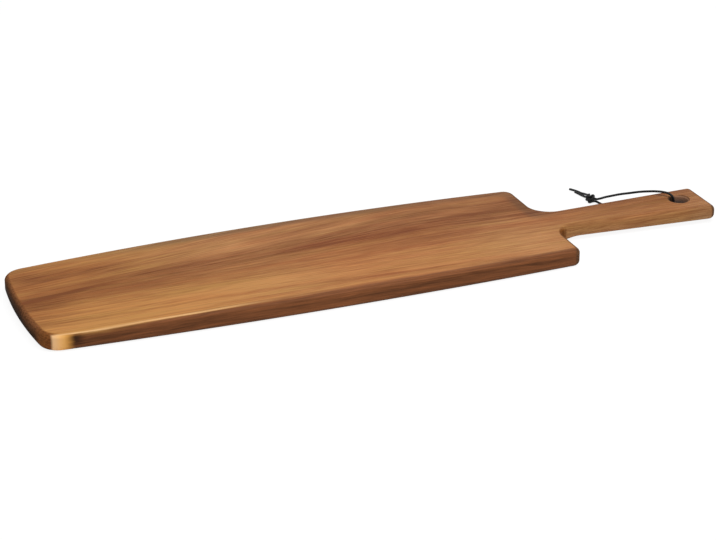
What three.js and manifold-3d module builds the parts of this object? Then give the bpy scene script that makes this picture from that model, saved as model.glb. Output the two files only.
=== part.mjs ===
// Serving board: one plank of acacia with a paddle handle, a hang hole and a knotted leather cord.
// Millimetres. X runs along the board towards the handle, -Y is its front edge and Z is up.
// The origin lies on the table, under the middle of the plank's outline.
import * as THREE from 'three';
import Module from 'manifold-3d';

const wasm = await Module();
wasm.setup();

// Blade
const BOARD_LENGTH = 600; // near end to handle end
const BLADE_LENGTH = 452.5; // near end to the shoulders
const NEAR_WIDTH = 131; // across the near end, before its corners are rounded
const SHOULDER_WIDTH = 139.7; // across the shoulders, before their corners are rounded
const FRONT_BOW = 6.2; // how far the front edge bows out past a straight line
const BACK_BOW = 11;
const NEAR_BOW = 4.9;
const NEAR_CORNER = 17.5; // radii, seen from above
const FRONT_SHOULDER_CORNER = 7.4;
const BACK_SHOULDER_CORNER = 9.5;
const THICKNESS = 14.7;
const ARRIS = 4.3; // radius of every sanded edge

// Handle
const NECK_WIDTH = 32.6;
const NECK_OFFSET = -3.1; // middle of the handle from the middle of the blade, at the shoulders
const HANDLE_END_WIDTH = 48;
const HANDLE_END_OFFSET = -6.3;
const FRONT_HANDLE_CORNER = 5.6;
const BACK_HANDLE_CORNER = 5;
const FRONT_NECK_FILLET = 8;
const BACK_NECK_FILLET = 18;
const RELIEF_START = 4; // from the shoulders to the foot of the ramp under the handle
const RELIEF_RAMP = 46;

// Hang hole
const HOLE_DIAMETER = 16;
const HOLE_SETBACK = 22.4; // from the handle end to the middle of the hole
const HOLE_OFFSET = 2; // from the middle of the handle towards the back edge
const HOLE_EASE = 2; // radius of the hole's rounded mouths

// Cord
const CORD_DIAMETER = 2;
const CORD_GAP = 0.3; // between cord and cord, and between cord and wood
const KNOT_CENTRE = [220.6, 46.4];
const KNOT_TURN = 34; // degrees from +X to the middle of the angle between loop and tails
const KNOT_REACH = 1.15; // a third of the radius of the knot's bights
const KNOT_RISE = 1.6; // how far the strands ride up and down where they cross
const KNOT_OPENING = 0.62; // radians left open at each end of the bights, where the leads begin
const KNOT_TAIL_LEAD = [[2.9, 3.3, 0.1], [2, 2.3, 0.6]]; // along, across and up, in reaches and rises
const KNOT_LOOP_LEAD = [[1.6, -2.6, -0.9], [1.5, -4.4, -0.85]];
const LOOP_ROUTE = [
  [226.9, 40.7, 4.8],
  [231.1, 39.4, 6.0],
  [236.4, 36.6, 7.6],
  [242.2, 33.2, 9.4],
  [248.0, 27.6, 11.7],
  [253.9, 21.3, 14.3],
  [259.6, 15.1, 16.3],
  [264.4, 9.5, 17.7],
  [268.6, 4.7, 18.2],
  [272.2, 0.9, 17.5],
  [274.2, -1.4, 15.3],
  [274.8, -2.3, 11.6],
  [274.6, -2.2, 8.0],
  [273.9, -1.6, 4.9],
  [272.7, -0.4, 2.3],
  [271.5, 0.9, 1.25],
  [265.4, 6.2, 1.15],
  [258.4, 11.4, 1.15],
  [250.6, 16.8, 1.15],
  [243.0, 22.2, 1.15],
  [236.0, 27.4, 1.15],
  [231.0, 31.8, 1.15],
  [227.2, 35.4, 1.15],
  [225.8, 39.4, 1.2],
];
const LONG_TAIL_ROUTE = [
  [222.0, 55.6, 3.5],
  [222.2, 60.0, 2.4],
  [221.3, 66.4, 1.2],
  [220.3, 70.8, 1.1],
  [217.6, 74.0, 1.6],
  [214.5, 75.0, 2.6],
];
const SHORT_TAIL_ROUTE = [
  [220.6, 54.6, 1.9],
  [219.8, 60.0, 1.3],
  [218.8, 66.0, 1.1],
  [217.9, 70.4, 1.1],
];

// Facets
const EDGE_STEPS = 20;
const CORNER_STEPS = 8;
const ARRIS_STEPS = 4;
const HOLE_SEGMENTS = 36;
const CORD_SIDES = 8;
const LOOP_STEPS = 60;
const KNOT_POINTS = 24;
const KNOT_STEPS = 44;
const TAIL_STEPS = 12;

// What the driving dimensions lead to
const HANDLE_LENGTH = BOARD_LENGTH - BLADE_LENGTH;
const HANDLE_RELIEF = CORD_DIAMETER + 2 * CORD_GAP; // the cord lies under the handle
const STRAND_OFFSET = (CORD_DIAMETER + CORD_GAP) / 2; // two strands side by side
const KNOT_HEIGHT = KNOT_RISE + STRAND_OFFSET + CORD_DIAMETER / 2 + CORD_GAP / 3;

const acacia = new THREE.MeshStandardMaterial({ color: 0xb57f4e, roughness: 0.5, metalness: 0 });
const leather = new THREE.MeshStandardMaterial({ color: 0x17130f, roughness: 0.6, metalness: 0 });

function solid(geometry) {
  const bare = geometry.index ? geometry.toNonIndexed() : geometry;
  const place = bare.getAttribute('position');
  const corners = new Map();
  const vertices = [];
  const triangles = [];
  for (let i = 0; i < place.count; i += 1) {
    const xyz = [place.getX(i), place.getY(i), place.getZ(i)];
    const key = xyz.map((value) => Math.round(value * 1e4)).join(' ');
    if (!corners.has(key)) {
      corners.set(key, vertices.length / 3);
      vertices.push(...xyz);
    }
    triangles.push(corners.get(key));
  }
  return new wasm.Manifold(new wasm.Mesh({
    numProp: 3,
    vertProperties: new Float32Array(vertices),
    triVerts: new Uint32Array(triangles),
  }));
}

function mesh(name, body, material) {
  const { numProp, vertProperties, triVerts } = body.getMesh();
  const geometry = new THREE.BufferGeometry();
  geometry.setAttribute('position', new THREE.BufferAttribute(Float32Array.from(vertProperties), numProp));
  geometry.setIndex(new THREE.BufferAttribute(Uint32Array.from(triVerts), 1));
  const part = new THREE.Mesh(geometry.toNonIndexed(), material);
  part.geometry.computeVertexNormals();
  part.name = name;
  return part;
}

// A closed outline through the sides, with an arc of the given radius after each side.
function roundedOutline(sides, radii) {
  const count = sides.length;
  const arcs = sides.map((side, i) => {
    const next = sides[(i + 1) % count];
    const turn = side.getTangentAt(1).angleTo(next.getTangentAt(0));
    return { setback: radii[i] * Math.tan(turn / 2), grip: (4 / 3) * Math.tan(turn / 4) * radii[i] };
  });
  const spans = sides.map((side, i) => {
    const length = side.getLength();
    return [arcs[(i + count - 1) % count].setback / length, 1 - arcs[i].setback / length];
  });
  const points = [];
  sides.forEach((side, i) => {
    const [from, to] = spans[i];
    const steps = side.isLineCurve ? 1 : EDGE_STEPS;
    for (let step = 0; step < steps; step += 1) {
      points.push(side.getPointAt(from + ((to - from) * step) / steps));
    }
    const next = sides[(i + 1) % count];
    const nextFrom = spans[(i + 1) % count][0];
    const start = side.getPointAt(to);
    const end = next.getPointAt(nextFrom);
    const arc = new THREE.CubicBezierCurve(
      start,
      start.clone().addScaledVector(side.getTangentAt(to), arcs[i].grip),
      end.clone().addScaledVector(next.getTangentAt(nextFrom), -arcs[i].grip),
      end,
    );
    points.push(...arc.getPoints(CORNER_STEPS).slice(0, -1));
  });
  return points;
}

function bowedSide(from, to, bow) {
  const along = to.clone().sub(from).normalize();
  const outward = new THREE.Vector2(along.y, -along.x);
  const pulled = from.clone().lerp(to, 0.5).addScaledVector(outward, 2 * bow);
  return new THREE.QuadraticBezierCurve(from, pulled, to);
}

function plankSides() {
  const at = (x, y) => new THREE.Vector2(x, y);
  const nearBack = at(NEAR_BOW, NEAR_WIDTH / 2);
  const nearFront = at(NEAR_BOW, -NEAR_WIDTH / 2);
  const shoulderFront = at(BLADE_LENGTH, -SHOULDER_WIDTH / 2);
  const shoulderBack = at(BLADE_LENGTH, SHOULDER_WIDTH / 2);
  const neckFront = at(BLADE_LENGTH, NECK_OFFSET - NECK_WIDTH / 2);
  const neckBack = at(BLADE_LENGTH, NECK_OFFSET + NECK_WIDTH / 2);
  const endFront = at(BOARD_LENGTH, HANDLE_END_OFFSET - HANDLE_END_WIDTH / 2);
  const endBack = at(BOARD_LENGTH, HANDLE_END_OFFSET + HANDLE_END_WIDTH / 2);
  return [
    bowedSide(nearBack, nearFront, NEAR_BOW),
    bowedSide(nearFront, shoulderFront, FRONT_BOW),
    new THREE.LineCurve(shoulderFront, neckFront),
    new THREE.LineCurve(neckFront, endFront),
    new THREE.LineCurve(endFront, endBack),
    new THREE.LineCurve(endBack, neckBack),
    new THREE.LineCurve(neckBack, shoulderBack),
    bowedSide(shoulderBack, nearBack, BACK_BOW),
  ];
}

const outline = roundedOutline(plankSides(), [
  NEAR_CORNER,
  FRONT_SHOULDER_CORNER,
  FRONT_NECK_FILLET,
  FRONT_HANDLE_CORNER,
  BACK_HANDLE_CORNER,
  BACK_NECK_FILLET,
  BACK_SHOULDER_CORNER,
  NEAR_CORNER,
]);
const middle = new THREE.Box2().setFromPoints(outline).getCenter(new THREE.Vector2());
outline.forEach((point) => point.sub(middle));

// The whole outline as a plank with rounded arrises, from a height up to the top face.
function plank(underside) {
  const geometry = new THREE.ExtrudeGeometry(new THREE.Shape(outline), {
    depth: THICKNESS - underside - 2 * ARRIS,
    bevelThickness: ARRIS,
    bevelSize: ARRIS,
    bevelOffset: -ARRIS,
    bevelSegments: ARRIS_STEPS,
  });
  geometry.translate(0, 0, underside + ARRIS);
  return solid(geometry);
}

// The stretch of the plank that rests on the table, up to a ramp just behind the shoulders.
function restingStretch() {
  const foot = BLADE_LENGTH + RELIEF_START - middle.x;
  const profile = new THREE.Shape([
    new THREE.Vector2(-BOARD_LENGTH, 0),
    new THREE.Vector2(foot, 0),
    new THREE.Vector2(foot + RELIEF_RAMP, HANDLE_RELIEF + ARRIS),
    new THREE.Vector2(foot + RELIEF_RAMP, THICKNESS),
    new THREE.Vector2(-BOARD_LENGTH, THICKNESS),
  ]);
  const width = NEAR_WIDTH + SHOULDER_WIDTH;
  const geometry = new THREE.ExtrudeGeometry(profile, { depth: width, bevelEnabled: false });
  geometry.rotateX(Math.PI / 2);
  geometry.translate(0, width / 2, 0);
  return plank(0).intersect(solid(geometry));
}

function hangHole() {
  const radius = HOLE_DIAMETER / 2;
  const mouth = radius + HOLE_EASE;
  const mouthArc = (height, from, to) => (
    new THREE.EllipseCurve(mouth, height, HOLE_EASE, HOLE_EASE, from, to, true).getPoints(ARRIS_STEPS)
  );
  const profile = [
    new THREE.Vector2(0, -THICKNESS),
    new THREE.Vector2(mouth, -THICKNESS),
    ...mouthArc(HANDLE_RELIEF + HOLE_EASE, 1.5 * Math.PI, Math.PI),
    ...mouthArc(THICKNESS - HOLE_EASE, Math.PI, 0.5 * Math.PI),
    new THREE.Vector2(mouth, 2 * THICKNESS),
    new THREE.Vector2(0, 2 * THICKNESS),
  ];
  const geometry = new THREE.LatheGeometry(profile, HOLE_SEGMENTS);
  geometry.rotateX(Math.PI / 2);
  const alongHandle = 1 - HOLE_SETBACK / HANDLE_LENGTH;
  const handleMiddle = THREE.MathUtils.lerp(NECK_OFFSET, HANDLE_END_OFFSET, alongHandle);
  geometry.translate(BOARD_LENGTH - HOLE_SETBACK - middle.x, handleMiddle + HOLE_OFFSET - middle.y, 0);
  return solid(geometry);
}

function cordTube(curve, steps) {
  const section = new THREE.EllipseCurve(0, 0, CORD_DIAMETER / 2, CORD_DIAMETER / 2).getPoints(CORD_SIDES);
  const geometry = new THREE.ExtrudeGeometry(new THREE.Shape(section.slice(0, CORD_SIDES)), {
    extrudePath: curve,
    steps,
    bevelEnabled: false,
  });
  return solid(geometry);
}

// One of the two strands of the overhand knot, from the tails' side to the loop's side.
// Its bights follow a trefoil, which is the curve of an overhand knot.
function knotStrand(lift) {
  const [centreX, centreY] = KNOT_CENTRE;
  const turn = THREE.MathUtils.degToRad(KNOT_TURN);
  const place = ([along, across, rise]) => new THREE.Vector3(along, across, 0)
    .multiplyScalar(KNOT_REACH)
    .applyAxisAngle(new THREE.Vector3(0, 0, 1), turn)
    .add(new THREE.Vector3(centreX, centreY, KNOT_HEIGHT + KNOT_RISE * rise + lift));
  const bights = [];
  for (let step = 0; step <= KNOT_POINTS; step += 1) {
    const angle = THREE.MathUtils.lerp(KNOT_OPENING, 2 * Math.PI - KNOT_OPENING, step / KNOT_POINTS);
    const radius = 2 + Math.cos(3 * angle);
    bights.push([radius * Math.cos(2 * angle), radius * Math.sin(2 * angle), Math.sin(3 * angle)]);
  }
  return new THREE.CatmullRomCurve3([...KNOT_TAIL_LEAD, ...bights, ...KNOT_LOOP_LEAD].map(place));
}

// The point a gap's length beyond an end of a knot strand, where the next stretch of cord begins.
function beyond(curve, end) {
  const outward = curve.getTangentAt(end).multiplyScalar(end === 0 ? -1 : 1);
  return curve.getPointAt(end).addScaledVector(outward, CORD_GAP);
}

function cordRoute(points) {
  return new THREE.CatmullRomCurve3(points.map((point) => (
    Array.isArray(point) ? new THREE.Vector3(...point) : point
  )));
}

const upperStrand = knotStrand(STRAND_OFFSET);
const lowerStrand = knotStrand(-STRAND_OFFSET);
const board = plank(HANDLE_RELIEF).add(restingStretch()).subtract(hangHole());
const knot = cordTube(upperStrand, KNOT_STEPS).add(cordTube(lowerStrand, KNOT_STEPS));
const loopCurve = cordRoute([beyond(upperStrand, 1), ...LOOP_ROUTE, beyond(lowerStrand, 1)]);
const longTailCurve = cordRoute([beyond(upperStrand, 0), ...LONG_TAIL_ROUTE]);
const shortTailCurve = cordRoute([beyond(lowerStrand, 0), ...SHORT_TAIL_ROUTE]);

const servingBoard = new THREE.Group();
servingBoard.add(
  mesh('board', board, acacia),
  mesh('cord_loop', cordTube(loopCurve, LOOP_STEPS), leather),
  mesh('cord_knot', knot, leather),
  mesh('cord_long_tail', cordTube(longTailCurve, TAIL_STEPS), leather),
  mesh('cord_short_tail', cordTube(shortTailCurve, TAIL_STEPS), leather),
);

export default servingBoard;
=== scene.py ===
"""Looks of the serving board: an oiled acacia plank with a paddle handle and a knotted leather cord."""

import math
from typing import NamedTuple

import bpy
from bpy.props import FloatProperty, FloatVectorProperty, IntProperty, PointerProperty
from mathutils import Matrix, Vector


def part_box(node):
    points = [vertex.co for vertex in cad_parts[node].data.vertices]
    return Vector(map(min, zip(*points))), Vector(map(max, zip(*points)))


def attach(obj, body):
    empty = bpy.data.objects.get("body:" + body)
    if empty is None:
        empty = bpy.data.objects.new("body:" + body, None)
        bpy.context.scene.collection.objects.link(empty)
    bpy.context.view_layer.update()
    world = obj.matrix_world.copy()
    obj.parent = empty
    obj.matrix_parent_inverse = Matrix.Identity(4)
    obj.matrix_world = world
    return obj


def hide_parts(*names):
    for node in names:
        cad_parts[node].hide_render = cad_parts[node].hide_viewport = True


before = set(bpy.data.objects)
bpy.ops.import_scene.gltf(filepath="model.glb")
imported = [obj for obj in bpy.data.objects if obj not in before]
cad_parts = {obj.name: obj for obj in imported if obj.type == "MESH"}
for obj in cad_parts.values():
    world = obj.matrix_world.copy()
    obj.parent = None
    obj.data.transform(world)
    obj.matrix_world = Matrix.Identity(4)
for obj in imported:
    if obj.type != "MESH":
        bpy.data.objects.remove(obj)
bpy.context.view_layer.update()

bl_info = {
    "name": "Serving Board",
    "version": (1, 0, 0),
    "blender": (4, 5, 0),
    "location": "View3D > Sidebar > Serving Board",
    "description": "Shapes and finishes an acacia serving board with a leather hanging cord",
    "category": "Add Mesh",
}

# All places are in metres: x runs along the plank to the handle, y across it to the back and z up.
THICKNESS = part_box("board")[1].z
MERGE_DISTANCE = 1e-6
FLAT_ANGLE = math.radians(0.05)  # faces that meet at less are joined
FACE_WEIGHT = 100  # lets the broad faces shade flat
HOLE_MARGIN = 1.1  # arrises round the hole within which its mouths lie
SENSOR_WIDTH = 36  # mm
VIEW_DEPTH = 100
FLOOR_SIZE = 12
FLOOR_DROP = 0.0002  # keeps the floor off the underside
FLOOR_ROUGHNESS = 0.9

# The cord's route: from the knot over the back edge, through the hole and back under the handle.
LOOP_ROUTE = (
    (0.2269, 0.0407, 0.0048),
    (0.2311, 0.0394, 0.0060),
    (0.2364, 0.0366, 0.0076),
    (0.2422, 0.0332, 0.0094),
    (0.2480, 0.0276, 0.0117),
    (0.2539, 0.0213, 0.0143),
    (0.2596, 0.0151, 0.0163),
    (0.2644, 0.0095, 0.0177),
    (0.2686, 0.0047, 0.0182),
    (0.2722, 0.0009, 0.0175),
    (0.2742, -0.0014, 0.0153),
    (0.2748, -0.0023, 0.0116),
    (0.2746, -0.0022, 0.0080),
    (0.2739, -0.0016, 0.0049),
    (0.2727, -0.0004, 0.0026),
    (0.2709, 0.0014, 0.00155),
    (0.2654, 0.0062, 0.00115),
    (0.2584, 0.0114, 0.00115),
    (0.2506, 0.0168, 0.00115),
    (0.2430, 0.0222, 0.00115),
    (0.2360, 0.0274, 0.00115),
    (0.2310, 0.0318, 0.00115),
    (0.2272, 0.0354, 0.00115),
    (0.2258, 0.0394, 0.0012),
)
HOLE_POINT = 12  # the point of the route in the middle of the hole
LONG_TAIL_ROUTE = (
    (0.2220, 0.0556, 0.0035),
    (0.2222, 0.0600, 0.0024),
    (0.2213, 0.0664, 0.0012),
    (0.2203, 0.0708, 0.0011),
    (0.2176, 0.0740, 0.0016),
    (0.2145, 0.0750, 0.0026),
)
SHORT_TAIL_ROUTE = (
    (0.2206, 0.0546, 0.0019),
    (0.2198, 0.0600, 0.0013),
    (0.2188, 0.0660, 0.0011),
    (0.2179, 0.0704, 0.0011),
)
KNOT_OPENING = 0.62  # radians left open at each end of the bights
KNOT_POINTS = 24
KNOT_TAIL_LEAD = ((2.9, 3.3, 0.1), (2.0, 2.3, 0.6))  # along, across and up, in reaches and rises
KNOT_LOOP_LEAD = ((1.6, -2.6, -0.9), (1.5, -4.4, -0.85))
CORD_ROUNDNESS = 5  # Blender's bevel resolution
CORD_STEPS = 6  # between two points of a route

LEATHER_GRAIN = 4200.0  # waves in a metre
LEATHER_WEAR = 320.0
LEATHER_TONES = (0.35, 0.75, 0.7, 2.2)  # a range of the wear and what it turns into
LEATHER_ROUGHNESS = (0.3, 0.7, 0.42, 0.6)
LEATHER_BUMP = 0.5
LEATHER_SPECULAR = 0.2
BUMP_HEIGHT = 0.0001


class BowedLine(NamedTuple):
    """A line along the plank: its place across the plank, as a curve of a share along it."""

    start: float  # along the plank
    length: float
    level: float  # across the plank at the start
    slope: float
    bow: float


SHOULDER = 0.1525  # along the plank
FRONT_EDGE = BowedLine(-0.2951, 0.4476, -0.06786, -0.02914, 0.02479)
BACK_EDGE = BowedLine(SHOULDER, -0.4476, 0.06749, 0.03964, -0.04399)
HANDLE_BACK_EDGE = BowedLine(SHOULDER, 0.1475, 0.01084, 0.0045, 0.0)
HANDLE_FRONT_EDGE = BowedLine(SHOULDER, 0.1475, -0.02176, -0.0109, 0.0)
LIGHT_LINE = BowedLine(-0.3, 1.0, 0.0010, 0.13, 0.0)  # front border of the light wood at the near back
NECK_FRONT_CORNER = Vector((SHOULDER, HANDLE_FRONT_EDGE.level))
NECK_ROUNDING = 0.010  # reach of the frame's rounding of that corner
HOLE_CENTRE = Vector((0.2776, -0.00617))
SHOULDER_BLEND = 0.011  # rounds the border of the burnish at the shoulder's corner
NECK_BLEND = 0.021  # and in the neck


class Streak(NamedTuple):
    """A streak of the grain: where it runs, how it fades and how much it lightens or darkens the wood."""

    start: float  # along the plank
    end: float
    across: float  # its middle at its start
    slope: float
    back: float  # how far it fades out towards the back edge
    front: float  # and towards the front edge
    tone: float


STREAKS = (
    Streak(-0.308, -0.133, 0.0013, 0.16, 0.009, 0.019, -0.24),
    Streak(-0.320, -0.225, -0.0067, 0.16, 0.003, 0.007, -0.30),
    Streak(-0.380, -0.150, -0.0177, 0.07, 0.020, 0.014, -0.18),
    Streak(-0.400, 0.259, 0.0192, -0.02, 0.015, 0.007, -0.16),
    Streak(-0.061, 0.085, 0.0128, 0.085, 0.044, 0.009, -0.23),
    Streak(0.049, 0.244, 0.0153, 0.22, 0.017, 0.044, -0.28),
    Streak(0.049, 0.143, 0.0113, -0.11, 0.025, 0.010, 0.28),
    Streak(-0.340, -0.090, -0.0476, -0.02, 0.008, 0.005, -0.27),
    Streak(-0.312, -0.061, -0.0645, 0.11, 0.031, 0.030, 0.17),
    Streak(-0.295, -0.200, 0.0392, -0.02, 0.016, 0.021, -0.37),
    Streak(-0.145, -0.097, 0.0352, 0.12, 0.017, 0.015, 0.21),
    Streak(-0.045, 0.011, 0.0352, 0.24, 0.014, 0.006, 0.22),
    Streak(-0.082, 0.100, -0.0546, -0.055, 0.005, 0.007, -0.25),
    Streak(-0.365, -0.266, -0.0416, 0.22, 0.038, 0.040, -0.30),
    Streak(0.205, 0.280, -0.0060, 0.0, 0.050, 0.050, -0.11),
)
STREAK_TAPER = 0.25  # share of a streak's length over which its ends fade, to each side


class Fibre(NamedTuple):
    """One size of the grain: its waves and how much they change the heartwood and the dark skin."""

    stretch: tuple  # waves in a metre along, across and up
    tone: float
    skin_tone: float


FIBRES = {
    "bands": Fibre((4.0, 110.0, 60.0), 0.30, 0.5),
    "strands": Fibre((7.0, 300.0, 160.0), 0.52, 0.9),
    "lines": Fibre((13.0, 560.0, 400.0), 0.95, 1.3),
    "threads": Fibre((50.0, 1100.0, 900.0), 1.0, 1.3),
}
PORE_STRETCH = (130.0, 3400.0, 2600.0)
PORE_DETAIL = 1.0
PORE_RANGE = (0.66, 0.74)  # of the noise that opens a pore
PORE_TONE = -0.20
PATCH_STRETCH = (9.0, 90.0, 60.0)
PATCH_DETAIL = 2.0
SPECK_STRETCH = (500.0, 420.0, 900.0)
SPECK_DETAIL = 2.0
SPECK_TONES = (0.3, 0.7, 0.65, 1.35)  # a range of the noise and what it turns into
WANDER_STRETCH = (9.0, 16.0, 16.0)
FRAY_STRETCH = (14.0, 260.0, 260.0)
FRAY_DETAIL = 4.0
WAVER = 0.004  # how far the streaks wander and fray
GRAIN_FRAY = -0.0028  # takes back most of the fraying in the fine grain
SAP_FRAY = 0.006
GRAIN_LEAN = 0.7  # how far the grain leans across for each step up
LINE_ROUGHNESS = 0.12
PORE_ROUGHNESS = 0.15
END_ROUGHNESS = 0.4
THREAD_RELIEF = 0.5
PORE_RELIEF = -1.0
WOOD_BUMP = 0.35
WOOD_SPECULAR = 0.1
HEARTWOOD_TONES = (0.0, 0.46, 1.0)  # of its dark, middle and light grain
# The near cut end darkens from its top down, as oil-dark end grain and as painted shade on its lower part.
END_HEIGHTS = (0.36, 0.70, 1.0)  # shares of the thickness: the near cut end's dark part, middle and top
# Heights of the hole wall's painted shade: dark deep inside, lighter under the upper mouth.
BORE_HEIGHTS = (0.62, 0.82)
BORE_BLUR = 0.003  # half the border between the two sides of the bore


class Step(NamedTuple):
    """A smooth step of a mask: the measure of a point that it follows, and its places and values there."""

    measure: str
    low: float
    high: float
    start: float = 0.0
    end: float = 1.0


# Where the marks of the wood and the painted light and shade show. A mask is the product of its steps.
BLADE_TONE = Step("across", 0.0003, -0.0386, 0.42, 0.78)
HANDLE_TONE = Step("across", 0.0143, -0.0316, 0.38, 0.56)
BACK_LIGHT = (
    Step("past_light_line", -0.003, 0.003, 0.0, 0.284),
    Step("x", 0.196, -0.294),
    Step("x", -0.30, -0.23, 0.34, 1.0),
)
ON_HANDLE = Step("x", 0.125, 0.185)
HANDLE_END = Step("x", 0.265, 0.290)
GRAIN_SLOPE = (Step("across", -0.03, 0.03, 0.0, 0.13), Step("x", 0.13, 0.0))
YELLOW_END = Step("x", -0.10, -0.26)
YELLOW_FRONT = (Step("x", 0.05, -0.25), Step("y", 0.04, -0.03))
WARM_MIDDLE = (Step("x", -0.10, -0.02), Step("x", 0.12, 0.04), Step("y", 0.034, 0.012))
NEAR_CORNER = Step("x", -0.225, -0.265)
OFF_NEAR_CORNER = Step("x", -0.265, -0.225)
SKIN_INSET = Step("x", -0.25, -0.02, 0.0010, 0.0066)
CORNER_INSET = -0.0009  # added to the skin's inset at the near corner
SKIN_BLUR = Step("x", -0.20, 0.0, 0.0010, 0.0032)
FRONT_WALL = (Step("drop", 0.0028, 0.0042), Step("front_gap", 0.006, 0.003))
SKIN_TONES = (  # added up
    Step("x", -0.25, -0.20, 0.88, 1.02),
    Step("x", -0.18, -0.11, 0.0, 0.12),
    Step("x", -0.08, -0.02, 0.0, -0.16),
)
# Painted shade along the back edge and its arris, where the surface turns away from the light.
BACK_EDGE_SHADE = (
    Step("back_depth", 0.0155, 0.0075),
    Step("x", -0.25, -0.13, 0.35, 1.0),
    Step("x", -0.02, 0.06, 1.0, 0.8),
    Step("x", 0.145, 0.180, 1.0, 0.35),
)
# Painted shade on the lower arrises, kept off the flat underside.
LOW_EDGE_SHADE = (Step("z", 0.0036, 0.0006), Step("normal_z", -0.99, -0.85))
HANDLE_SIDE = (ON_HANDLE, Step("handle_gap", 0.0048, 0.0026))
IN_NECK = Step("neck_distance", 0.019, 0.011)
NECK_TURN = -0.20  # holds the end grain back in the neck
NEAR_CUT = Step("normal_x", -0.02, -0.40)
FAR_CUT = Step("far_normal", 0.0, 0.4)
END_COVER = 0.92
END_CORNER = Step("y", -0.044, -0.062)
FAR_HALF = Step("x", 0.0, 0.1)
# Painted shade: a band across the lower part of the near cut end, behind its middle.
NEAR_END_SHADE = (
    NEAR_CUT,
    Step("x", -0.22, -0.26),
    Step("y", 0.060, 0.036),
    Step("y", -0.020, -0.008),
    Step("height", 1.03, 0.76, 0.0, 0.55),
)
IN_BORE = Step("hole_distance", 0.0090, 0.0081, 0.0, 0.9)
BORE_FAR_SIDE = Step("x", HOLE_CENTRE.x - BORE_BLUR, HOLE_CENTRE.x + BORE_BLUR)
SAP_LINE = (
    Step("skin_line", 0.0040, 0.0015),
    Step("skin_line", 0.0, 0.0008),
    Step("drop", 0.0042, 0.0028),
    Step("x", -0.10, -0.19, 0.0, 0.55),
    Step("x", -0.19, -0.22, 1.0, 0.8),
    Step("x", -0.235, -0.260, 1.0, 1.9),
    Step("x", -0.290, -0.285),
)
SAP_LINE_DROP = (0.0003, 0.0013)  # at the near corner the line keeps below the serving face
BURN = (
    Step("x", -0.281, -0.276),
    Step("x", -0.262, -0.272),
    Step("y", -0.054, -0.060),
    Step("z", 0.003, 0.008),
    Step("drop", 0.0018, 0.0034, 0.0, 0.85),
)
SAP_PATCH = (
    Step("x", -0.2908, -0.2882),
    Step("frayed_x", -0.2715, -0.2785),
    Step("y", -0.054, -0.060),
    Step("drop", 0.0006, 0.0020),
)
SAP_RUN = Step("x", -0.2905, -0.2755)

# Tints, which a colour is multiplied by. Those in rows follow a noise, the height or a run from 0 to 1.
WHITE = (1.0, 1.0, 1.0)
PATCH_TINTS = ((0.30, (1.05, 0.97, 0.96)), (0.5, WHITE), (0.70, (0.96, 1.025, 0.95)))
YELLOW_TINT = (1.02, 0.985, 0.75)
WARM_TINT = (1.0, 0.90, 0.82)
HANDLE_TINT = (1.0, 0.99, 0.93)
HANDLE_END_TINT = (0.97, 1.02, 1.10)
# Painted shade on the back edge and the lower arrises: darker and greyer.
EDGE_SHADE_TINT = (0.62, 0.70, 0.84)
# Painted light and shade on the handle's front side, by height: painted bounce light low down, painted
# shade under the upper arris.
HANDLE_SIDE_LIGHTING_TINTS = (
    (0.35, (1.14, 1.26, 1.48)),
    (0.68, (1.08, 1.12, 1.16)),
    (0.86, (0.84, 0.84, 0.84)),
    (1.0, (0.92, 0.92, 0.92)),
)
SAP_TINTS = (
    (0.0, (1.04, 1.0, 1.1)),
    (0.4, (1.04, 0.88, 0.68)),
    (0.75, (0.88, 0.70, 0.42)),
    (1.0, (0.62, 0.44, 0.20)),
)


class PlankSettings(bpy.types.PropertyGroup):
    """Sizes of the plank that the frame's outline doesn't give."""

    arris: FloatProperty(
        name="Arris",
        description="Radius of the sanded edges",
        default=0.0043,
        unit="LENGTH",
    )
    hole_ease: FloatProperty(
        name="Hole Ease",
        description="Radius of the hole's rounded mouths",
        default=0.002,
        unit="LENGTH",
    )
    hole_diameter: FloatProperty(
        name="Hole Diameter",
        description="Width of the hang hole",
        default=0.016,
        unit="LENGTH",
    )
    arris_steps: IntProperty(
        name="Arris Steps",
        description="Facets across each sanded edge, beyond one",
        default=7,
    )
    section: FloatProperty(
        name="Section",
        description="Height at which the frame's solid shows its whole outline",
        default=0.0085,
        unit="LENGTH",
    )
    relief: FloatProperty(
        name="Handle Relief",
        description="How far the handle's underside is raised for the cord",
        default=0.0026,
        unit="LENGTH",
    )
    relief_start: FloatProperty(
        name="Relief Start",
        description="Where the ramp under the handle begins, along the plank",
        default=0.1565,
        unit="LENGTH",
    )
    relief_ramp: FloatProperty(
        name="Relief Ramp",
        description="Length of the ramp under the handle",
        default=0.020,
        unit="LENGTH",
    )
    neck_ease: FloatProperty(
        name="Neck Ease",
        description="How many times wider the neck's front inner corner is rounded than in the frame",
        default=1.85,
    )
    ramp_cuts: IntProperty(
        name="Ramp Cuts",
        description="Stretches between the cuts across the plank that round the ramp",
        default=8,
    )


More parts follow.
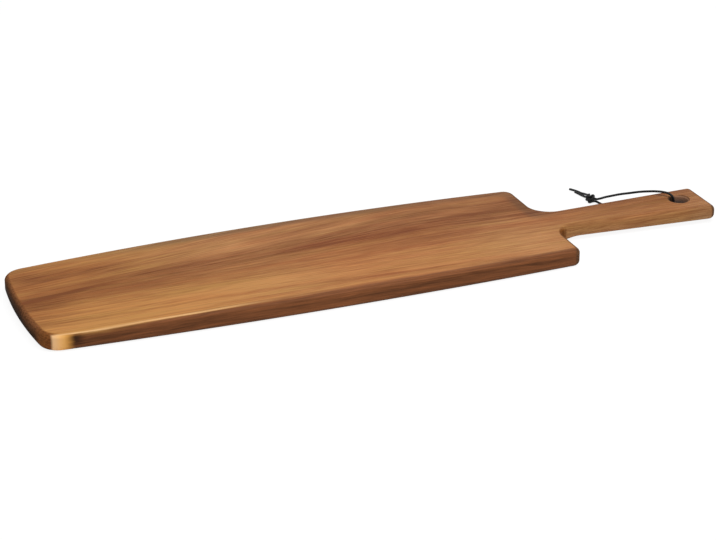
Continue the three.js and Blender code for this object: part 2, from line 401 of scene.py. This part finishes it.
class WoodSettings(bpy.types.PropertyGroup):
    """Colours and gloss of the oiled acacia."""

    dark: FloatVectorProperty(
        name="Dark Grain",
        description="Darkest streaks of the heartwood",
        subtype="COLOR",
        default=(0.175, 0.052, 0.014),
    )
    middle: FloatVectorProperty(
        name="Middle Grain",
        description="Most of the heartwood",
        subtype="COLOR",
        default=(0.335, 0.136, 0.048),
    )
    light: FloatVectorProperty(
        name="Light Grain",
        description="Lightest streaks of the heartwood",
        subtype="COLOR",
        default=(0.530, 0.255, 0.096),
    )
    skin: FloatVectorProperty(
        name="Front Skin",
        description="Dark wood along the front edge",
        subtype="COLOR",
        default=(0.190, 0.066, 0.023),
    )
    sap: FloatVectorProperty(
        name="Sapwood",
        description="Pale wood at the near front corner and along the front arris",
        subtype="COLOR",
        default=(1.0, 0.64, 0.30),
    )
    # These three colours run up the near cut end by height: dark end grain in painted shade below, lighter
    # towards the upper arris where the light falls.
    shaded_end_grain: FloatVectorProperty(
        name="End Grain",
        description="Lower part of the near cut end, which soaks up most oil",
        subtype="COLOR",
        default=(0.004, 0.002, 0.001),
    )
    end_top: FloatVectorProperty(
        name="End Top",
        description="Upper arris of the near cut end",
        subtype="COLOR",
        default=(0.220, 0.084, 0.032),
    )
    end_middle: FloatVectorProperty(
        name="End Middle",
        description="Near cut end below the upper arris",
        subtype="COLOR",
        default=(0.100, 0.037, 0.013),
    )
    corner: FloatVectorProperty(
        name="Corner",
        description="Near cut end beside the front corner",
        subtype="COLOR",
        default=(0.200, 0.066, 0.018),
    )
    far_end: FloatVectorProperty(
        name="Far End",
        description="Cut ends of the shoulders and of the handle",
        subtype="COLOR",
        default=(0.120, 0.056, 0.026),
    )
    # Darker cut wood in the neck's front inner corner, which also carries the painted shade of that
    # corner.
    neck: FloatVectorProperty(
        name="Neck",
        description="Cut wood in the front inner corner of the neck",
        subtype="COLOR",
        default=(0.150, 0.045, 0.006),
    )
    # The hang hole's wall carries painted shade: dark deep inside and on the blade's side, lighter under
    # its upper mouth.
    bore: FloatVectorProperty(
        name="Bore",
        description="Wall of the hang hole, deep inside",
        subtype="COLOR",
        default=(0.170, 0.120, 0.100),
    )
    bore_top: FloatVectorProperty(
        name="Bore Top",
        description="Wall of the hang hole under its upper mouth",
        subtype="COLOR",
        default=(0.430, 0.220, 0.130),
    )
    # Painted shadow on the hole's wall.
    bore_shade: FloatVectorProperty(
        name="Bore Shade",
        description="Wall of the hang hole on the side of the blade",
        subtype="COLOR",
        default=(0.05, 0.03, 0.02),
    )
    burn: FloatVectorProperty(
        name="Burn",
        description="Dark spot beside the sapwood",
        subtype="COLOR",
        default=(0.030, 0.010, 0.003),
    )
    roughness: FloatProperty(
        name="Roughness",
        description="How matt the oiled surface is",
        subtype="FACTOR",
        default=0.58,
    )


class CordSettings(bpy.types.PropertyGroup):
    """Size, knot and colour of the leather cord."""

    diameter: FloatProperty(
        name="Diameter",
        description="Thickness of the leather lacing",
        default=0.002,
        unit="LENGTH",
    )
    gap: FloatProperty(
        name="Gap",
        description="Between the two strands of the knot",
        default=0.0003,
        unit="LENGTH",
    )
    knot_centre: FloatVectorProperty(
        name="Knot Centre",
        description="Middle of the overhand knot, seen from above",
        size=2,
        subtype="XYZ",
        unit="LENGTH",
        default=(0.2206, 0.0464),
    )
    knot_turn: FloatProperty(
        name="Knot Turn",
        description="Turn of the knot about the vertical",
        subtype="ANGLE",
        default=math.radians(34),
    )
    knot_reach: FloatProperty(
        name="Knot Reach",
        description="A third of the radius of the knot's bights",
        default=0.00115,
        unit="LENGTH",
    )
    knot_rise: FloatProperty(
        name="Knot Rise",
        description="How far the strands ride up and down where they cross",
        default=0.0016,
        unit="LENGTH",
    )
    colour: FloatVectorProperty(
        name="Leather",
        description="Black dyed leather",
        subtype="COLOR",
        default=(0.006, 0.006, 0.006),
    )


class StageSettings(bpy.types.PropertyGroup):
    """Camera, light and floor."""

    eye: FloatVectorProperty(
        name="Camera Place",
        description="Where the camera stands",
        subtype="TRANSLATION",
        unit="LENGTH",
        default=(-0.652766, -1.588305, 0.763240),
    )
    pan: FloatProperty(
        name="Camera Pan",
        description="Turn of the camera about the vertical",
        subtype="ANGLE",
        default=-0.38157,
    )
    tilt: FloatProperty(
        name="Camera Tilt",
        description="How far the camera looks down",
        subtype="ANGLE",
        default=0.422203,
    )
    lens: FloatProperty(
        name="Lens",
        description="Focal length for a sensor 36 mm wide",
        default=115.352,
        unit="CAMERA",
    )
    sky: FloatProperty(
        name="Sky",
        description="Strength of the even light all round",
        default=0.32,
    )
    key_place: FloatVectorProperty(
        name="Key Place",
        description="Where the large softbox hangs",
        subtype="TRANSLATION",
        unit="LENGTH",
        default=(0.3, -0.55, 2.0),
    )
    key_turn: FloatVectorProperty(
        name="Key Turn",
        description="Turn of the softbox towards the board",
        subtype="EULER",
        unit="ROTATION",
        default=(0.27, 0.15, 0.0),
    )
    key_size: FloatProperty(
        name="Key Size",
        description="Width of the softbox",
        default=1.6,
        unit="LENGTH",
    )
    key_power: FloatProperty(
        name="Key Power",
        description="Power of the softbox",
        default=36.5,
        unit="POWER",
    )
    floor_colour: FloatVectorProperty(
        name="Floor",
        description="Colour with which the floor lights the board",
        subtype="COLOR",
        default=(0.78, 0.78, 0.78),
    )
    floor_glow: FloatProperty(
        name="Floor Glow",
        description="How pale the floor looks without any light",
        default=0.91,
    )
    floor_shade: FloatVectorProperty(
        name="Floor Shade",
        description="What the light adds to the floor's look, and the board's shadow takes away",
        subtype="COLOR",
        default=(0.13, 0.13, 0.13),
    )


class ServingBoardSettings(bpy.types.PropertyGroup):
    """All that a user would change on the board."""

    plank: PointerProperty(type=PlankSettings, name="Plank", description="Sizes of the plank")
    wood: PointerProperty(type=WoodSettings, name="Wood", description="Colours of the acacia")
    cord: PointerProperty(type=CordSettings, name="Cord", description="The leather cord and its knot")
    stage: PointerProperty(type=StageSettings, name="Stage", description="Camera, light and floor")


def rgba(colour):
    """Three numbers with their opacity. A node's socket stays as it is."""
    return colour if isinstance(colour, bpy.types.NodeSocket) else (*colour, 1.0)


class NodeBench:
    """A node tree, with a short method for each kind of step."""

    def __init__(self, tree):
        self.tree = tree

    def feed(self, socket, value):
        if isinstance(value, bpy.types.NodeSocket):
            self.tree.links.new(value, socket)
        else:
            socket.default_value = value

    def add(self, kind, inputs=(), output=0, **settings):
        node = self.tree.nodes.new(kind)
        for key, value in settings.items():
            setattr(node, key, value)
        for key, value in inputs.items() if isinstance(inputs, dict) else enumerate(inputs):
            self.feed(node.inputs[key], value)
        return node.outputs[output]

    def math(self, operation, *values):
        return self.add("ShaderNodeMath", values, operation=operation)

    def total(self, *values):
        result = values[0]
        for value in values[1:]:
            result = self.math("ADD", result, value)
        return result

    def product(self, *values):
        result = values[0]
        for value in values[1:]:
            result = self.math("MULTIPLY", result, value)
        return result

    def fade(self, value, low, high, start=0.0, end=1.0):
        """A smooth step from start, where value is low, to end, where it is high."""
        return self.add(
            "ShaderNodeMapRange", (value, low, high, start, end), interpolation_type="SMOOTHSTEP"
        )

    def mix(self, factor, first, second, blend="MIX"):
        """Mixes two colours, whose sockets are the node's inputs 6 and 7 and its output 2."""
        return self.add(
            "ShaderNodeMix",
            {0: factor, 6: rgba(first), 7: rgba(second)},
            output=2,
            data_type="RGBA",
            blend_type=blend,
        )

    def tint(self, colour, tint, amount=1.0):
        """Multiplies a colour by a tint, as far as the amount says."""
        return self.mix(amount, colour, tint, blend="MULTIPLY")

    def ramp(self, value, *stops):
        """A colour that runs through stops, which are pairs of a place and a colour."""
        node = self.tree.nodes.new("ShaderNodeValToRGB")
        self.feed(node.inputs[0], value)
        elements = node.color_ramp.elements
        while len(elements) < len(stops):
            elements.new(0.5)
        for element, (place, colour) in zip(elements, stops):
            element.position = place
            element.color = rgba(colour)
        return node.outputs["Color"]

    def parts(self, vector):
        node = self.tree.nodes.new("ShaderNodeSeparateXYZ")
        self.feed(node.inputs[0], vector)
        return node.outputs

    def noise(self, vector, stretch, detail=3.0):
        """Noise from 0 to 1 on coordinates that are stretched along each axis."""
        stretched = self.add("ShaderNodeVectorMath", (vector, stretch), operation="MULTIPLY")
        return self.add(
            "ShaderNodeTexNoise",
            {"Vector": stretched, "Scale": 1.0, "Detail": detail, "Roughness": 0.5},
        )

    def swing(self, vector, stretch, detail=3.0):
        """Noise that swings about zero."""
        return self.math("SUBTRACT", self.noise(vector, stretch, detail), 0.5)

    def direct_rays(self):
        """One for the rays that show the background as it is: seen, mirrored or through glass."""
        rays = self.tree.nodes.new("ShaderNodeLightPath").outputs
        shown = rays["Is Camera Ray"]
        for ray in ("Is Transmission Ray", "Is Glossy Ray"):
            shown = self.math("MAXIMUM", shown, rays[ray])
        return shown


class Finish(NodeBench):
    """A material and its nodes."""

    def __init__(self, name):
        self.material = bpy.data.materials.new(name)
        self.material.use_nodes = True
        super().__init__(self.material.node_tree)
        self.surface = self.tree.nodes["Principled BSDF"]

    def place(self):
        return self.add("ShaderNodeTexCoord", output="Object")

    def coat(self, colour, roughness, relief, bump, specular):
        """Joins the colour, the gloss and the fine relief to the surface."""
        inputs = self.surface.inputs
        self.feed(inputs["Base Color"], colour)
        self.feed(inputs["Roughness"], roughness)
        normal = self.add(
            "ShaderNodeBump", {"Strength": bump, "Distance": BUMP_HEIGHT, "Height": relief}
        )
        self.feed(inputs["Normal"], normal)
        inputs["Specular IOR Level"].default_value = specular


class Acacia(Finish):
    """Oiled acacia: streaked heartwood, a dark skin along the front edge, sapwood and end grain, with
    painted light and shade on its edges, handle side, cut ends and hole.
    """

    def __init__(self, wood):
        super().__init__("oiled_acacia")
        self.wood = wood
        self.point = self.place()
        self.fray = self.swing(self.point, FRAY_STRETCH, FRAY_DETAIL)
        self.at = self.measures()
        self.at["skin_line"] = self.skin_line()
        self.in_neck = self.mask(IN_NECK)
        self.at["far_normal"] = self.math("MULTIPLY_ADD", self.in_neck, NECK_TURN, self.at["normal_x"])
        self.on_handle = self.mask(ON_HANDLE)
        self.cut_end = self.math("MAXIMUM", self.mask(NEAR_CUT), self.mask(FAR_CUT))
        self.run = self.grain_run()
        self.fibres = {name: self.swing(self.run, fibre.stretch) for name, fibre in FIBRES.items()}
        self.pores = self.fade(self.noise(self.run, PORE_STRETCH, PORE_DETAIL), *PORE_RANGE)
        colour = self.heartwood()
        for layer in (self.skin, self.painted_edge_shade, self.handle_side_lighting, self.cut_ends, self.bore, self.sapwood):
            colour = layer(colour)
        self.coat(colour, self.roughness(), self.relief(), WOOD_BUMP, WOOD_SPECULAR)

    def mask(self, *steps):
        """Where all the steps show."""
        fades = [self.fade(self.at[step.measure], *step[1:]) for step in steps]
        return self.product(*fades)

    def line(self, x, line):
        """Where a line along the plank lies across it."""
        share = self.math("DIVIDE", self.math("SUBTRACT", x, line.start), line.length)
        rise = self.math("MULTIPLY_ADD", share, line.bow, line.slope)
        return self.math("MULTIPLY_ADD", share, rise, line.level)

    def distance(self, x, y, centre):
        """Distance from an upright axis through a point of the plank."""
        away_x = self.math("SUBTRACT", x, centre.x)
        away_y = self.math("SUBTRACT", y, centre.y)
        return self.math("SQRT", self.math("MULTIPLY_ADD", away_x, away_x, self.product(away_y, away_y)))

    def measures(self):
        """The measures of a point that the masks follow. Across is y with the waver of the grain."""
        x, y, z = self.parts(self.point)
        normal_x, _, normal_z = self.parts(self.add("ShaderNodeNewGeometry", output="Normal"))
        wander = self.swing(self.point, WANDER_STRETCH)
        across = self.total(y, self.product(wander, WAVER), self.product(self.fray, WAVER))
        back_gap = self.math("SUBTRACT", self.line(x, BACK_EDGE), y)
        shoulder_gap = self.math("SUBTRACT", SHOULDER, x)
        blade_depth = self.math("SMOOTH_MIN", back_gap, shoulder_gap, SHOULDER_BLEND)
        handle_depth = self.math("SUBTRACT", self.line(x, HANDLE_BACK_EDGE), y)
        return {
            "x": x,
            "y": y,
            "z": z,
            "normal_x": normal_x,
            "normal_z": normal_z,
            "across": across,
            "frayed_x": self.math("MULTIPLY_ADD", self.fray, SAP_FRAY, x),
            "height": self.math("DIVIDE", z, THICKNESS),
            "drop": self.math("SUBTRACT", THICKNESS, z),
            "past_light_line": self.math("SUBTRACT", across, self.line(x, LIGHT_LINE)),
            "front_gap": self.math("SUBTRACT", across, self.line(x, FRONT_EDGE)),
            "handle_gap": self.math("SUBTRACT", y, self.line(x, HANDLE_FRONT_EDGE)),
            "back_depth": self.math("SMOOTH_MAX", blade_depth, handle_depth, NECK_BLEND),
            "neck_distance": self.distance(x, y, NECK_FRONT_CORNER),
            "hole_distance": self.distance(x, y, HOLE_CENTRE),
        }

    def skin_line(self):
        """How far a point lies behind the border of the dark skin."""
        inset = self.math("MULTIPLY_ADD", self.mask(NEAR_CORNER), CORNER_INSET, self.mask(SKIN_INSET))
        return self.math("SUBTRACT", self.at["front_gap"], inset)

    def grain_run(self):
        """Coordinates that run along the fine grain, which leans and turns with the streaks."""
        x, z = self.at["x"], self.at["z"]
        straighter = self.math("MULTIPLY_ADD", self.fray, GRAIN_FRAY, self.at["across"])
        flow = self.math("SUBTRACT", straighter, self.product(x, self.mask(*GRAIN_SLOPE)))
        return self.add("ShaderNodeCombineXYZ", (x, self.math("MULTIPLY_ADD", z, GRAIN_LEAN, flow), z))

    def streak_tone(self, streak):
        """How much one streak changes the tone."""
        along = self.at["x"]
        offset = self.math("SUBTRACT", along, streak.start)
        middle = self.math("MULTIPLY_ADD", offset, streak.slope, streak.across)
        away = self.math("SUBTRACT", self.at["across"], middle)
        taper = (streak.end - streak.start) * STREAK_TAPER
        return self.product(
            self.fade(away, streak.back, 0.0),
            self.fade(away, -streak.front, 0.0),
            self.fade(along, streak.start - taper, streak.start + taper),
            self.fade(along, streak.end + taper, streak.end - taper),
            streak.tone,
        )

    def tone(self):
        """Light at the front, darker past the middle, light again at the near back, and all the grain."""
        blade_tone = self.math("ADD", self.mask(BLADE_TONE), self.mask(*BACK_LIGHT))
        off_handle = self.math("SUBTRACT", 1.0, self.on_handle)
        return self.total(
            self.product(blade_tone, off_handle),
            self.product(self.mask(HANDLE_TONE), self.on_handle),
            *(self.streak_tone(streak) for streak in STREAKS),
            *(self.product(self.fibres[name], fibre.tone) for name, fibre in FIBRES.items()),
            self.product(self.pores, PORE_TONE),
        )

    def heartwood(self):
        """Yellower at the near end and the front, redder in the middle and a little on the handle."""
        wood = self.wood
        colour = self.ramp(self.tone(), *zip(HEARTWOOD_TONES, (wood.dark, wood.middle, wood.light)))
        patches = self.noise(self.run, PATCH_STRETCH, PATCH_DETAIL)
        colour = self.tint(colour, self.ramp(patches, *PATCH_TINTS))
        yellowing = self.math("MAXIMUM", self.mask(YELLOW_END), self.mask(*YELLOW_FRONT))
        colour = self.tint(colour, YELLOW_TINT, yellowing)
        warmth = self.mix(self.mask(*WARM_MIDDLE), WHITE, WARM_TINT)
        warmth = self.mix(self.on_handle, warmth, HANDLE_TINT)
        warmth = self.mix(self.mask(HANDLE_END), warmth, HANDLE_END_TINT)
        return self.tint(colour, warmth)

    def skin(self, colour):
        """The dark skin along the front edge: sharp at the near end and soft towards the shoulder."""
        border = self.math("DIVIDE", self.at["skin_line"], self.mask(SKIN_BLUR))
        skin = self.math("MAXIMUM", self.fade(border, 1.0, -1.0), self.mask(*FRONT_WALL))
        tone = self.total(
            *(self.mask(step) for step in SKIN_TONES),
            *(self.product(self.fibres[name], fibre.skin_tone) for name, fibre in FIBRES.items()),
        )
        return self.mix(skin, colour, self.tint(self.wood.skin, tone))

    def painted_edge_shade(self, colour):
        """Painted shade on the edges at the back and on the lower arrises, which darkens and greys them.
        """
        edge_shade_mask = self.math("MAXIMUM", self.mask(*BACK_EDGE_SHADE), self.mask(*LOW_EDGE_SHADE))
        return self.tint(colour, EDGE_SHADE_TINT, edge_shade_mask)

    def handle_side_lighting(self, colour):
        """Painted light and shade on the handle's front side: paler and bluer below as painted bounce
        light from the floor, darker along its upper arris as painted shade.
        """
        tint = self.ramp(self.at["height"], *HANDLE_SIDE_LIGHTING_TINTS)
        return self.tint(colour, tint, self.mask(*HANDLE_SIDE))

    def cut_ends(self, colour):
        """The cut ends, which soak up more oil; on the near one the lower part is darkened further by
        painted shade, most of all behind its middle.
        """
        wood = self.wood
        end_colours = (wood.shaded_end_grain, wood.end_middle, wood.end_top)
        end = self.ramp(self.at["height"], *zip(END_HEIGHTS, end_colours))
        end = self.mix(self.mask(END_CORNER), end, wood.corner)
        end = self.mix(self.mask(FAR_HALF), end, wood.far_end)
        # The neck's cut wood, with the painted shade of its inner corner.
        end = self.mix(self.in_neck, end, wood.neck)
        specks = self.noise(self.point, SPECK_STRETCH, SPECK_DETAIL)
        end = self.tint(end, self.fade(specks, *SPECK_TONES))
        colour = self.mix(self.product(self.cut_end, END_COVER), colour, end)
        # Painted shade: that band goes to the darkest end colour.
        return self.mix(self.mask(*NEAR_END_SHADE), colour, wood.shaded_end_grain)

    def bore(self, colour):
        """The wall of the hang hole, with painted shade: dark towards the blade and deep down, lighter
        under the upper mouth.
        """
        wood = self.wood
        wall = self.ramp(self.at["height"], *zip(BORE_HEIGHTS, (wood.bore, wood.bore_top)))
        wall = self.mix(self.mask(BORE_FAR_SIDE), wood.bore_shade, wall)
        return self.mix(self.mask(IN_BORE), colour, wall)

    def sapwood(self, colour):
        """A pale line along the front arris and a pale patch at the near corner, beside a dark burn."""
        wood = self.wood
        colour = self.mix(self.mask(*BURN), colour, wood.burn)
        below_face = self.fade(self.at["drop"], *SAP_LINE_DROP, self.mask(OFF_NEAR_CORNER))
        colour = self.mix(self.product(self.mask(*SAP_LINE), below_face), colour, wood.sap)
        patch_colour = self.tint(wood.sap, self.ramp(self.mask(SAP_RUN), *SAP_TINTS))
        return self.mix(self.mask(*SAP_PATCH), colour, patch_colour)

    def roughness(self):
        """Matter in the fine lines, the pores and the cut ends."""
        return self.total(
            self.wood.roughness,
            self.product(self.fibres["lines"], LINE_ROUGHNESS),
            self.product(self.pores, PORE_ROUGHNESS),
            self.product(self.cut_end, END_ROUGHNESS),
        )

    def relief(self):
        """Fine threads that stand up and pores that are sunk."""
        return self.total(
            self.product(self.fibres["threads"], THREAD_RELIEF), self.product(self.pores, PORE_RELIEF)
        )


def leather(colour):
    """Black lacing with a fine grain and a satin gloss."""
    finish = Finish("black_leather")
    place = finish.place()
    grain = finish.noise(place, (LEATHER_GRAIN,) * 3)
    wear = finish.noise(place, (LEATHER_WEAR,) * 3)
    worn = finish.tint(colour, finish.fade(wear, *LEATHER_TONES))
    finish.coat(worn, finish.fade(wear, *LEATHER_ROUGHNESS), grain, LEATHER_BUMP, LEATHER_SPECULAR)
    return finish.material


def select_only(piece):
    bpy.ops.object.select_all(action="DESELECT")
    piece.select_set(True)
    bpy.context.view_layer.objects.active = piece


def link(name, data):
    piece = bpy.data.objects.new(name, data)
    bpy.context.scene.collection.objects.link(piece)
    return piece


def dress(piece, slot, material, *nodes):
    """Gives a finished piece its material and its place in the frame."""
    piece.data.materials.clear()
    piece.data.materials.append(material)
    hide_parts(*nodes)
    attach(piece, "root")


def knot_strand(cord, lift):
    """Points of one strand of the overhand knot, a trefoil, from the loop's side to the tails' side."""
    height = cord.knot_rise + (cord.diameter + cord.gap) / 2 + cord.diameter / 2 + cord.gap / 3
    turn = Matrix.Rotation(cord.knot_turn, 3, "Z")
    bights = []
    for step in range(KNOT_POINTS + 1):
        angle = KNOT_OPENING + (2 * math.pi - 2 * KNOT_OPENING) * step / KNOT_POINTS
        radius = 2 + math.cos(3 * angle)
        bights.append((radius * math.cos(2 * angle), radius * math.sin(2 * angle), math.sin(3 * angle)))
    points = []
    for along, across, rise in (*KNOT_TAIL_LEAD, *bights, *KNOT_LOOP_LEAD):
        level = turn @ Vector((along * cord.knot_reach, across * cord.knot_reach, 0))
        centre = Vector((*cord.knot_centre, height + lift + rise * cord.knot_rise))
        points.append(level + centre)
    return points[::-1]


def cord_curve(name, points, diameter):
    """A round cord along one open spline."""
    data = bpy.data.curves.new(name, "CURVE")
    data.dimensions = "3D"
    data.bevel_depth = diameter / 2
    data.bevel_resolution = CORD_ROUNDNESS
    data.resolution_u = CORD_STEPS
    data.use_fill_caps = True
    spline = data.splines.new("BEZIER")
    spline.bezier_points.add(len(points) - 1)
    for knot, point in zip(spline.bezier_points, points):
        knot.co = point
        knot.handle_left_type = "AUTO"
        knot.handle_right_type = "AUTO"
    return link(name, data)


class SERVINGBOARD_OT_stage(bpy.types.Operator):
    """Set up the camera, the soft studio light and the pale floor"""

    bl_idname = "serving_board.stage"
    bl_label = "Set Stage"

    def execute(self, context):
        stage = context.scene.serving_board.stage
        self.set_camera(context, stage)
        self.set_light(context, stage)
        self.lay_floor(context, stage)
        context.scene.view_settings.view_transform = "Standard"
        return {"FINISHED"}

    def set_camera(self, context, stage):
        bpy.ops.object.camera_add(
            location=stage.eye, rotation=(math.pi / 2 - stage.tilt, 0, stage.pan)
        )
        camera = context.active_object
        camera.data.lens = stage.lens
        camera.data.sensor_width = SENSOR_WIDTH
        camera.data.clip_end = VIEW_DEPTH
        context.scene.camera = camera

    def set_light(self, context, stage):
        """White all round where it is seen, a softer sky where it lights, and one large softbox."""
        world = bpy.data.worlds.new("studio")
        world.use_nodes = True
        context.scene.world = world
        sky = NodeBench(world.node_tree)
        background = sky.tree.nodes["Background"].inputs
        strength = sky.add("ShaderNodeMapRange", {"Value": sky.direct_rays(), "To Min": stage.sky})
        sky.feed(background["Color"], rgba(WHITE))
        sky.feed(background["Strength"], strength)
        bpy.ops.object.light_add(type="AREA", location=stage.key_place, rotation=stage.key_turn)
        key = context.active_object.data
        key.size = stage.key_size
        key.energy = stage.key_power

    def lay_floor(self, context, stage):
        """A floor that looks nearly white and keeps a faint shadow."""
        bpy.ops.mesh.primitive_plane_add(size=FLOOR_SIZE, location=(0, 0, -FLOOR_DROP))
        floor = context.active_object
        floor.name = "floor"
        finish = Finish("studio_floor")
        finish.surface.inputs["Base Color"].default_value = rgba(stage.floor_colour)
        finish.surface.inputs["Roughness"].default_value = FLOOR_ROUGHNESS
        glow = finish.add("ShaderNodeEmission", {"Strength": stage.floor_glow})
        shade = finish.add("ShaderNodeBsdfDiffuse", {"Color": rgba(stage.floor_shade)})
        pale = finish.add("ShaderNodeAddShader", (glow, shade))
        shown = finish.add(
            "ShaderNodeMixShader", (finish.direct_rays(), finish.surface.outputs["BSDF"], pale)
        )
        finish.feed(finish.tree.nodes["Material Output"].inputs["Surface"], shown)
        floor.data.materials.append(finish.material)


class SERVINGBOARD_OT_cord(bpy.types.Operator):
    """Lay the leather cord through the hole and tie its strands in an overhand knot"""

    bl_idname = "serving_board.cord"
    bl_label = "Tie Cord"

    def execute(self, context):
        cord = context.scene.serving_board.cord
        material = leather(cord.colour)
        lift = (cord.diameter + cord.gap) / 2
        upper = (*LOOP_ROUTE[HOLE_POINT::-1], *knot_strand(cord, lift), *LONG_TAIL_ROUTE)
        lower = (*LOOP_ROUTE[HOLE_POINT:], *knot_strand(cord, -lift), *SHORT_TAIL_ROUTE)
        upper_piece = cord_curve("leather_upper_strand", upper, cord.diameter)
        lower_piece = cord_curve("leather_lower_strand", lower, cord.diameter)
        dress(upper_piece, "leather", material, "cord_loop", "cord_knot", "cord_long_tail")
        dress(lower_piece, "leather", material, "cord_loop", "cord_knot", "cord_short_tail")
        return {"FINISHED"}


class SERVINGBOARD_OT_plank(bpy.types.Operator):
    """Shape the plank on the frame's outline, with soft arrises and a relieved handle"""

    bl_idname = "serving_board.plank"
    bl_label = "Shape Plank"

    def execute(self, context):
        settings = context.scene.serving_board
        plank = link("acacia_plank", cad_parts["board"].data.copy())
        select_only(plank)
        self.trace_outline(settings.plank.section)
        self.ease_neck(plank, settings.plank.neck_ease)
        plank = self.thicken(context, settings.plank)
        self.ease_hole(plank, settings.plank)
        self.relieve_handle(plank, settings.plank)
        bpy.ops.object.shade_smooth()
        weighted = plank.modifiers.new("even_faces", "WEIGHTED_NORMAL")
        weighted.weight = FACE_WEIGHT
        bpy.ops.object.modifier_apply(modifier=weighted.name)
        dress(plank, "acacia", Acacia(settings.wood).material, "board")
        return {"FINISHED"}

    def trace_outline(self, section):
        """Leaves only the outline of the plank and of its hole."""
        bpy.ops.object.mode_set(mode="EDIT")
        bpy.ops.mesh.select_all(action="SELECT")
        bpy.ops.mesh.remove_doubles(threshold=MERGE_DISTANCE)
        bpy.ops.mesh.select_all(action="SELECT")
        bpy.ops.mesh.bisect(
            plane_co=(0, 0, section), plane_no=(0, 0, 1), clear_inner=True, clear_outer=True
        )
        bpy.ops.object.mode_set(mode="OBJECT")

    def ease_neck(self, outline, ease):
        """Widens the rounding of the neck's front inner corner, which stays tangent to both edges."""
        for vertex in outline.data.vertices:
            offset = vertex.co.xy - NECK_FRONT_CORNER
            if offset.length < NECK_ROUNDING:
                vertex.co.xy = NECK_FRONT_CORNER + offset * ease

    def thicken(self, context, sizes):
        """Turns the outline into a plate with round arrises."""
        half = THICKNESS / 2
        bpy.ops.object.convert(target="CURVE")
        plate = context.active_object
        plate.data.dimensions = "2D"
        plate.data.fill_mode = "BOTH"
        plate.data.extrude = half - sizes.arris
        plate.data.bevel_depth = sizes.arris
        plate.data.bevel_resolution = sizes.arris_steps
        plate.data.offset = -sizes.arris
        bpy.ops.object.convert(target="MESH")
        plate = context.active_object
        bpy.ops.object.mode_set(mode="EDIT")
        bpy.ops.mesh.select_all(action="SELECT")
        bpy.ops.mesh.remove_doubles(threshold=MERGE_DISTANCE)
        bpy.ops.mesh.dissolve_limited(angle_limit=FLAT_ANGLE)
        bpy.ops.mesh.select_all(action="SELECT")
        bpy.ops.mesh.normals_make_consistent(inside=False)
        bpy.ops.transform.translate(value=(0, 0, half))
        bpy.ops.object.mode_set(mode="OBJECT")
        return plate

    def ease_hole(self, plank, sizes):
        """Shrinks the rounded mouths of the hole, which are eased less than the plank's edges."""
        radius = sizes.hole_diameter / 2
        share = sizes.hole_ease / sizes.arris
        for vertex in plank.data.vertices:
            outward = vertex.co.xy - HOLE_CENTRE
            if outward.length < radius + HOLE_MARGIN * sizes.arris:
                outward *= (radius + (outward.length - radius) * share) / outward.length
                vertex.co.xy = HOLE_CENTRE + outward
                if vertex.co.z > THICKNESS / 2:
                    vertex.co.z = THICKNESS - (THICKNESS - vertex.co.z) * share
                else:
                    vertex.co.z *= share

    def relieve_handle(self, plank, sizes):
        """Raises the handle's underside behind a smooth ramp."""
        bpy.ops.object.mode_set(mode="EDIT")
        for cut in range(sizes.ramp_cuts + 1):
            place = sizes.relief_start + sizes.relief_ramp * cut / sizes.ramp_cuts
            bpy.ops.mesh.select_all(action="SELECT")
            bpy.ops.mesh.bisect(plane_co=(place, 0, 0), plane_no=(1, 0, 0))
        bpy.ops.object.mode_set(mode="OBJECT")
        for vertex in plank.data.vertices:
            along = (vertex.co.x - sizes.relief_start) / sizes.relief_ramp
            share = min(max(along, 0.0), 1.0)
            if vertex.co.z < THICKNESS / 2:
                vertex.co.z += sizes.relief * share * share * (3 - 2 * share)


class SERVINGBOARD_PT_panel(bpy.types.Panel):
    """The serving board's steps and settings"""

    bl_label = "Serving Board"
    bl_idname = "SERVINGBOARD_PT_panel"
    bl_space_type = "VIEW_3D"
    bl_region_type = "UI"
    bl_category = "Serving Board"

    def draw(self, context):
        settings = context.scene.serving_board
        for operator, *groups in (
            (SERVINGBOARD_OT_stage, settings.stage),
            (SERVINGBOARD_OT_cord, settings.cord),
            (SERVINGBOARD_OT_plank, settings.plank, settings.wood),
        ):
            box = self.layout.box()
            box.operator(operator.bl_idname)
            for group in groups:
                for name in group.__annotations__:
                    box.prop(group, name)


CLASSES = (
    PlankSettings,
    WoodSettings,
    CordSettings,
    StageSettings,
    ServingBoardSettings,
    SERVINGBOARD_OT_stage,
    SERVINGBOARD_OT_cord,
    SERVINGBOARD_OT_plank,
    SERVINGBOARD_PT_panel,
)


def register():
    for cls in CLASSES:
        bpy.utils.register_class(cls)
    bpy.types.Scene.serving_board = PointerProperty(type=ServingBoardSettings)


def unregister():
    del bpy.types.Scene.serving_board
    for cls in reversed(CLASSES):
        bpy.utils.unregister_class(cls)


def main():
    register()
    bpy.ops.serving_board.stage()
    bpy.ops.serving_board.cord()
    bpy.ops.serving_board.plank()


if __name__ == "__main__":
    main()
